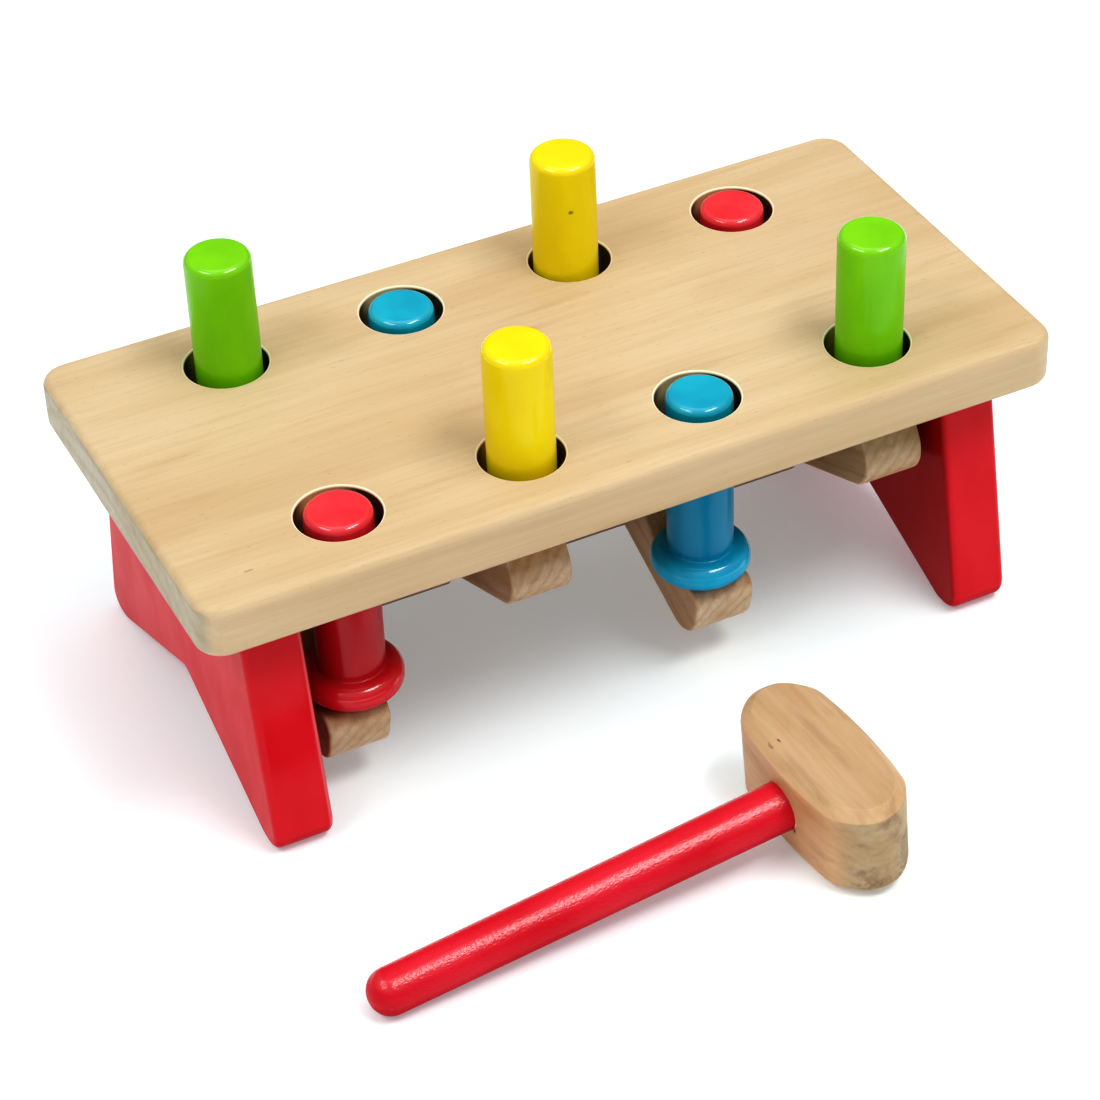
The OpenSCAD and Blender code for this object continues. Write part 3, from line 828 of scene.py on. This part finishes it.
def buildLever(name, column, aside, frontLow, nodeName, seed):
    bm = bmesh.new()
    endY, endR = lever["endReach"], lever["endRadius"]
    noseY, noseZ, noseR = lever["noseReach"], lever["noseRise"], lever["noseRadius"]
    seatY, seatR = lever["seatReach"], lever["seatRadius"]
    seatZ = lever["seatFloor"] + seatR
    # the flat that touches both the rounded end and the nose above it
    flatAngle = (math.atan2(noseZ, noseY - endY)
                 - math.acos((endR - noseR) / math.hypot(noseY - endY, noseZ)))
    # where the seat's arc meets the nose
    apart = math.hypot(seatY - noseY, seatZ - noseZ)
    along = (noseR ** 2 - seatR ** 2 + apart ** 2) / (2 * apart)
    crestAngle = math.atan2(seatZ - noseZ, seatY - noseY) - math.acos(along / noseR)
    crest = (noseY + noseR * math.cos(crestAngle), noseZ + noseR * math.sin(crestAngle))
    hub = (seatY - math.sqrt(seatR ** 2 - (seatZ - lever["hubRise"]) ** 2), lever["hubRise"])
    seatSweep = (math.atan2(crest[1] - seatZ, crest[0] - seatY)
                 - math.atan2(hub[1] - seatZ, hub[0] - seatY))
    below = arcOf(bm, bm.verts.new(Vector((0, endY, -endR)) * mm), (endY, 0),
                  flatAngle + math.pi / 2, 12)
    above = bm.verts.new(Vector((0, noseY + noseR * math.cos(flatAngle),
                                 noseZ + noseR * math.sin(flatAngle))) * mm)
    bm.edges.new((below, above))
    tip = arcOf(bm, above, (noseY, noseZ), crestAngle - flatAngle, 9)
    arcOf(bm, tip, (seatY, seatZ), -seatSweep, 16)
    for point in (crest, hub):
        ring = {nearest(bm, (0, *point))}
        for step in range(2):
            ring |= {e.other_vert(v) for v in ring for e in v.link_edges}
        inside = [v for v in ring if len(v.link_edges) > 1]
        for step in range(3):
            bmesh.ops.smooth_vert(bm, verts=inside, factor=0.5,
                                  use_axis_x=True, use_axis_y=True, use_axis_z=True)
    half = bm.verts[:] + bm.edges[:]
    bmesh.ops.mirror(bm, geom=half, matrix=Matrix.Identity(4), merge_dist=-1.0, axis="Y")
    undersides = sorted(bm.verts, key=lambda v: v.co.z)[:2]
    hubs = [v for v in bm.verts if len(v.link_edges) == 1 and v not in undersides]
    bm.edges.new(undersides)
    bm.edges.new(hubs)
    bmesh.ops.contextual_create(bm, geom=bm.edges[:])
    bmesh.ops.translate(bm, verts=bm.verts[:], vec=(-lever["width"] / 2 * mm, 0, 0))
    made = bmesh.ops.extrude_face_region(bm, geom=bm.faces[:])
    moved = [v for v in made["geom"] if isinstance(v, bmesh.types.BMVert)]
    bmesh.ops.translate(bm, verts=moved, vec=(lever["width"] * mm, 0, 0))
    bmesh.ops.recalc_face_normals(bm, faces=bm.faces[:])
    rims = [e for e in bm.edges if abs(e.verts[0].co.x - e.verts[1].co.x) < 0.01 * mm]
    bevelAll(bm, rims, lever["edgeRadius"], 3)
    mesh = meshFrom(name, bm)
    cutter = bmesh.new()
    boreInto(cutter, lever["boreDiameter"], lever["width"] + 4, upright)
    mesh = cutAway(mesh, meshFrom("bore", cutter))
    place = placing(columnX(column) + aside, benchY, pivotHeight, 0, frontLow * lever["tilt"])
    grainway = place @ Matrix.Rotation(math.pi / 2, 4, "Z")
    material = woodMaterial(name + "Wood", leverLook, grainway, seed)
    finishPiece(name, mesh, nodeName, material, nodeName, place, 35)


for seed, (name, values) in enumerate(leverPlaces.items()):
    buildLever(name, *values, seed + 5.0)

rodShadeWood = woodMaterial("rodWoodInShade", rodShadeLook, placing(0, benchY, pivotHeight), 11.0)
for nodeName in ("pivot_rod", "left_spacer", "middle_spacer", "right_spacer",
                 "left_leg_dowels", "right_leg_dowels"):
    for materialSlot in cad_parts[nodeName].material_slots:
        materialSlot.material = rodShadeWood
print("levers and rod made")

# hammer

hammer = {
    "place": (20.9, benchY - 122.5), "heading": -87.5,
    "headLength": 55.4, "headWidth": 22.8, "headHeight": 30.2, "sideBulge": 2.4, "faceBulge": 3.0,
    "sidesFrom": 0.3,  # the share of the half width beyond which the sides bulge
    "cornerRadius": 8.0, "chamfer": 3.0, "softening": 0.4,
    "sideCuts": 11, "faceCuts": 3,  # so that the straight lines can be bent
    "handleLength": 124.2, "neckDiameter": 14.1, "endDiameter": 13.1, "endFlat": 0.4,
    "seatDepth": 20.0, "seatPlay": 0.1, "seatGap": 0.5,
}
handleZ = hammer["headHeight"] / 2
headHalfWidth = hammer["headWidth"] / 2 + hammer["sideBulge"]
sideways = Matrix.Rotation(math.pi / 2, 4, "X")


def hammerPlacing():
    # the head rests on the lower line of its chamfer, the handle on its end
    edge, endR = hammer["chamfer"], hammer["endDiameter"] / 2
    reach = hammer["handleLength"] + edge - endR
    lean = math.acos(endR / math.hypot(reach, handleZ)) - math.atan2(reach, handleZ)
    x, y = hammer["place"]
    about = Matrix.Translation(Vector((0, edge - headHalfWidth, 0)) * mm)
    leaning = about @ Matrix.Rotation(lean, 4, "X") @ about.inverted()
    return placing(x, y, 0, hammer["heading"]) @ leaning


def buildHead(place):
    halfX, halfY = hammer["headLength"] / 2, hammer["headWidth"] / 2
    bm = bmesh.new()
    outline = [(x * halfX, y * halfY, 0) for x, y in ((1, 1), (-1, 1), (-1, -1), (1, -1))]
    wire(bm, outline, True)
    for vert in [nearest(bm, p) for p in outline]:
        roundCorner(bm, vert, hammer["cornerRadius"], 7)
    straight = [e for e in bm.edges if e.calc_length() > 5 * mm]
    sides = [e for e in straight if abs(e.verts[0].co.y - e.verts[1].co.y) < 0.01 * mm]
    faces = [e for e in straight if e not in sides]
    bmesh.ops.subdivide_edges(bm, edges=sides, cuts=hammer["sideCuts"])
    bmesh.ops.subdivide_edges(bm, edges=faces, cuts=hammer["faceCuts"])
    for vert in bm.verts:
        # the sides bulge towards the middle, the striking faces towards theirs
        shareX, shareY = vert.co.x / (halfX * mm), vert.co.y / (halfY * mm)
        if abs(shareY) > hammer["sidesFrom"]:
            bulge = hammer["sideBulge"] * mm * (1 - shareX ** 2)
            vert.co.y += math.copysign(bulge, vert.co.y)
        bulge = hammer["faceBulge"] * mm * (1 - min(1, shareY ** 2)) ** 2
        vert.co.x += math.copysign(bulge, vert.co.x)
    bmesh.ops.contextual_create(bm, geom=bm.edges[:])
    made = bmesh.ops.extrude_face_region(bm, geom=bm.faces[:])
    moved = [v for v in made["geom"] if isinstance(v, bmesh.types.BMVert)]
    bmesh.ops.translate(bm, verts=moved, vec=(0, 0, hammer["headHeight"] * mm))
    bmesh.ops.recalc_face_normals(bm, faces=bm.faces[:])
    rims = [e for e in bm.edges if abs(e.verts[0].co.z - e.verts[1].co.z) < 0.01 * mm]
    bevelled = bevelAll(bm, rims, hammer["chamfer"], 1)
    chamfers = {e for f in bevelled["faces"] for e in f.edges}
    lines = [e for e in chamfers if abs(e.verts[0].co.z - e.verts[1].co.z) < 0.01 * mm]
    bevelAll(bm, lines, hammer["softening"], 3)
    mesh = meshFrom("hammerHead", bm)
    cutter = bmesh.new()
    outside = 2.0  # how far the cutter stands out
    boreMiddle = hammer["seatDepth"] / 2 - headHalfWidth - outside
    boreInto(cutter, hammer["neckDiameter"] + hammer["seatPlay"],
             hammer["seatDepth"] + 2 * outside, placing(0, boreMiddle, handleZ) @ sideways, 64)
    mesh = cutAway(mesh, meshFrom("bore", cutter))
    material = woodMaterial("headBeech", headLook, place, 17.0)
    finishPiece("hammerHead", mesh, "hammer", material, "hammer_head", place, 30)


def buildHandle(place):
    bm = bmesh.new()
    neck, endR = hammer["neckDiameter"] / 2, hammer["endDiameter"] / 2
    start, seat = hammer["seatGap"], hammer["seatDepth"]
    total = seat + hammer["handleLength"]
    outline = [(0, 0, start), (neck, 0, start), (neck, 0, seat), (endR, 0, total), (0, 0, total)]
    wire(bm, outline, False)
    roundCorner(bm, nearest(bm, (endR, 0, total)), endR - hammer["endFlat"], 12)
    spinRound(bm)
    mesh = meshFrom("hammerHandle", bm)
    along = place @ placing(0, seat - headHalfWidth, handleZ) @ sideways
    material = paintMaterial("handlePaint", paints["handleRed"], along @ upright, 19.0)
    finishPiece("hammerHandle", mesh, "hammer", material, "hammer_handle",
                along, 60)


buildHead(hammerPlacing())
buildHandle(hammerPlacing())
print("hammer made")
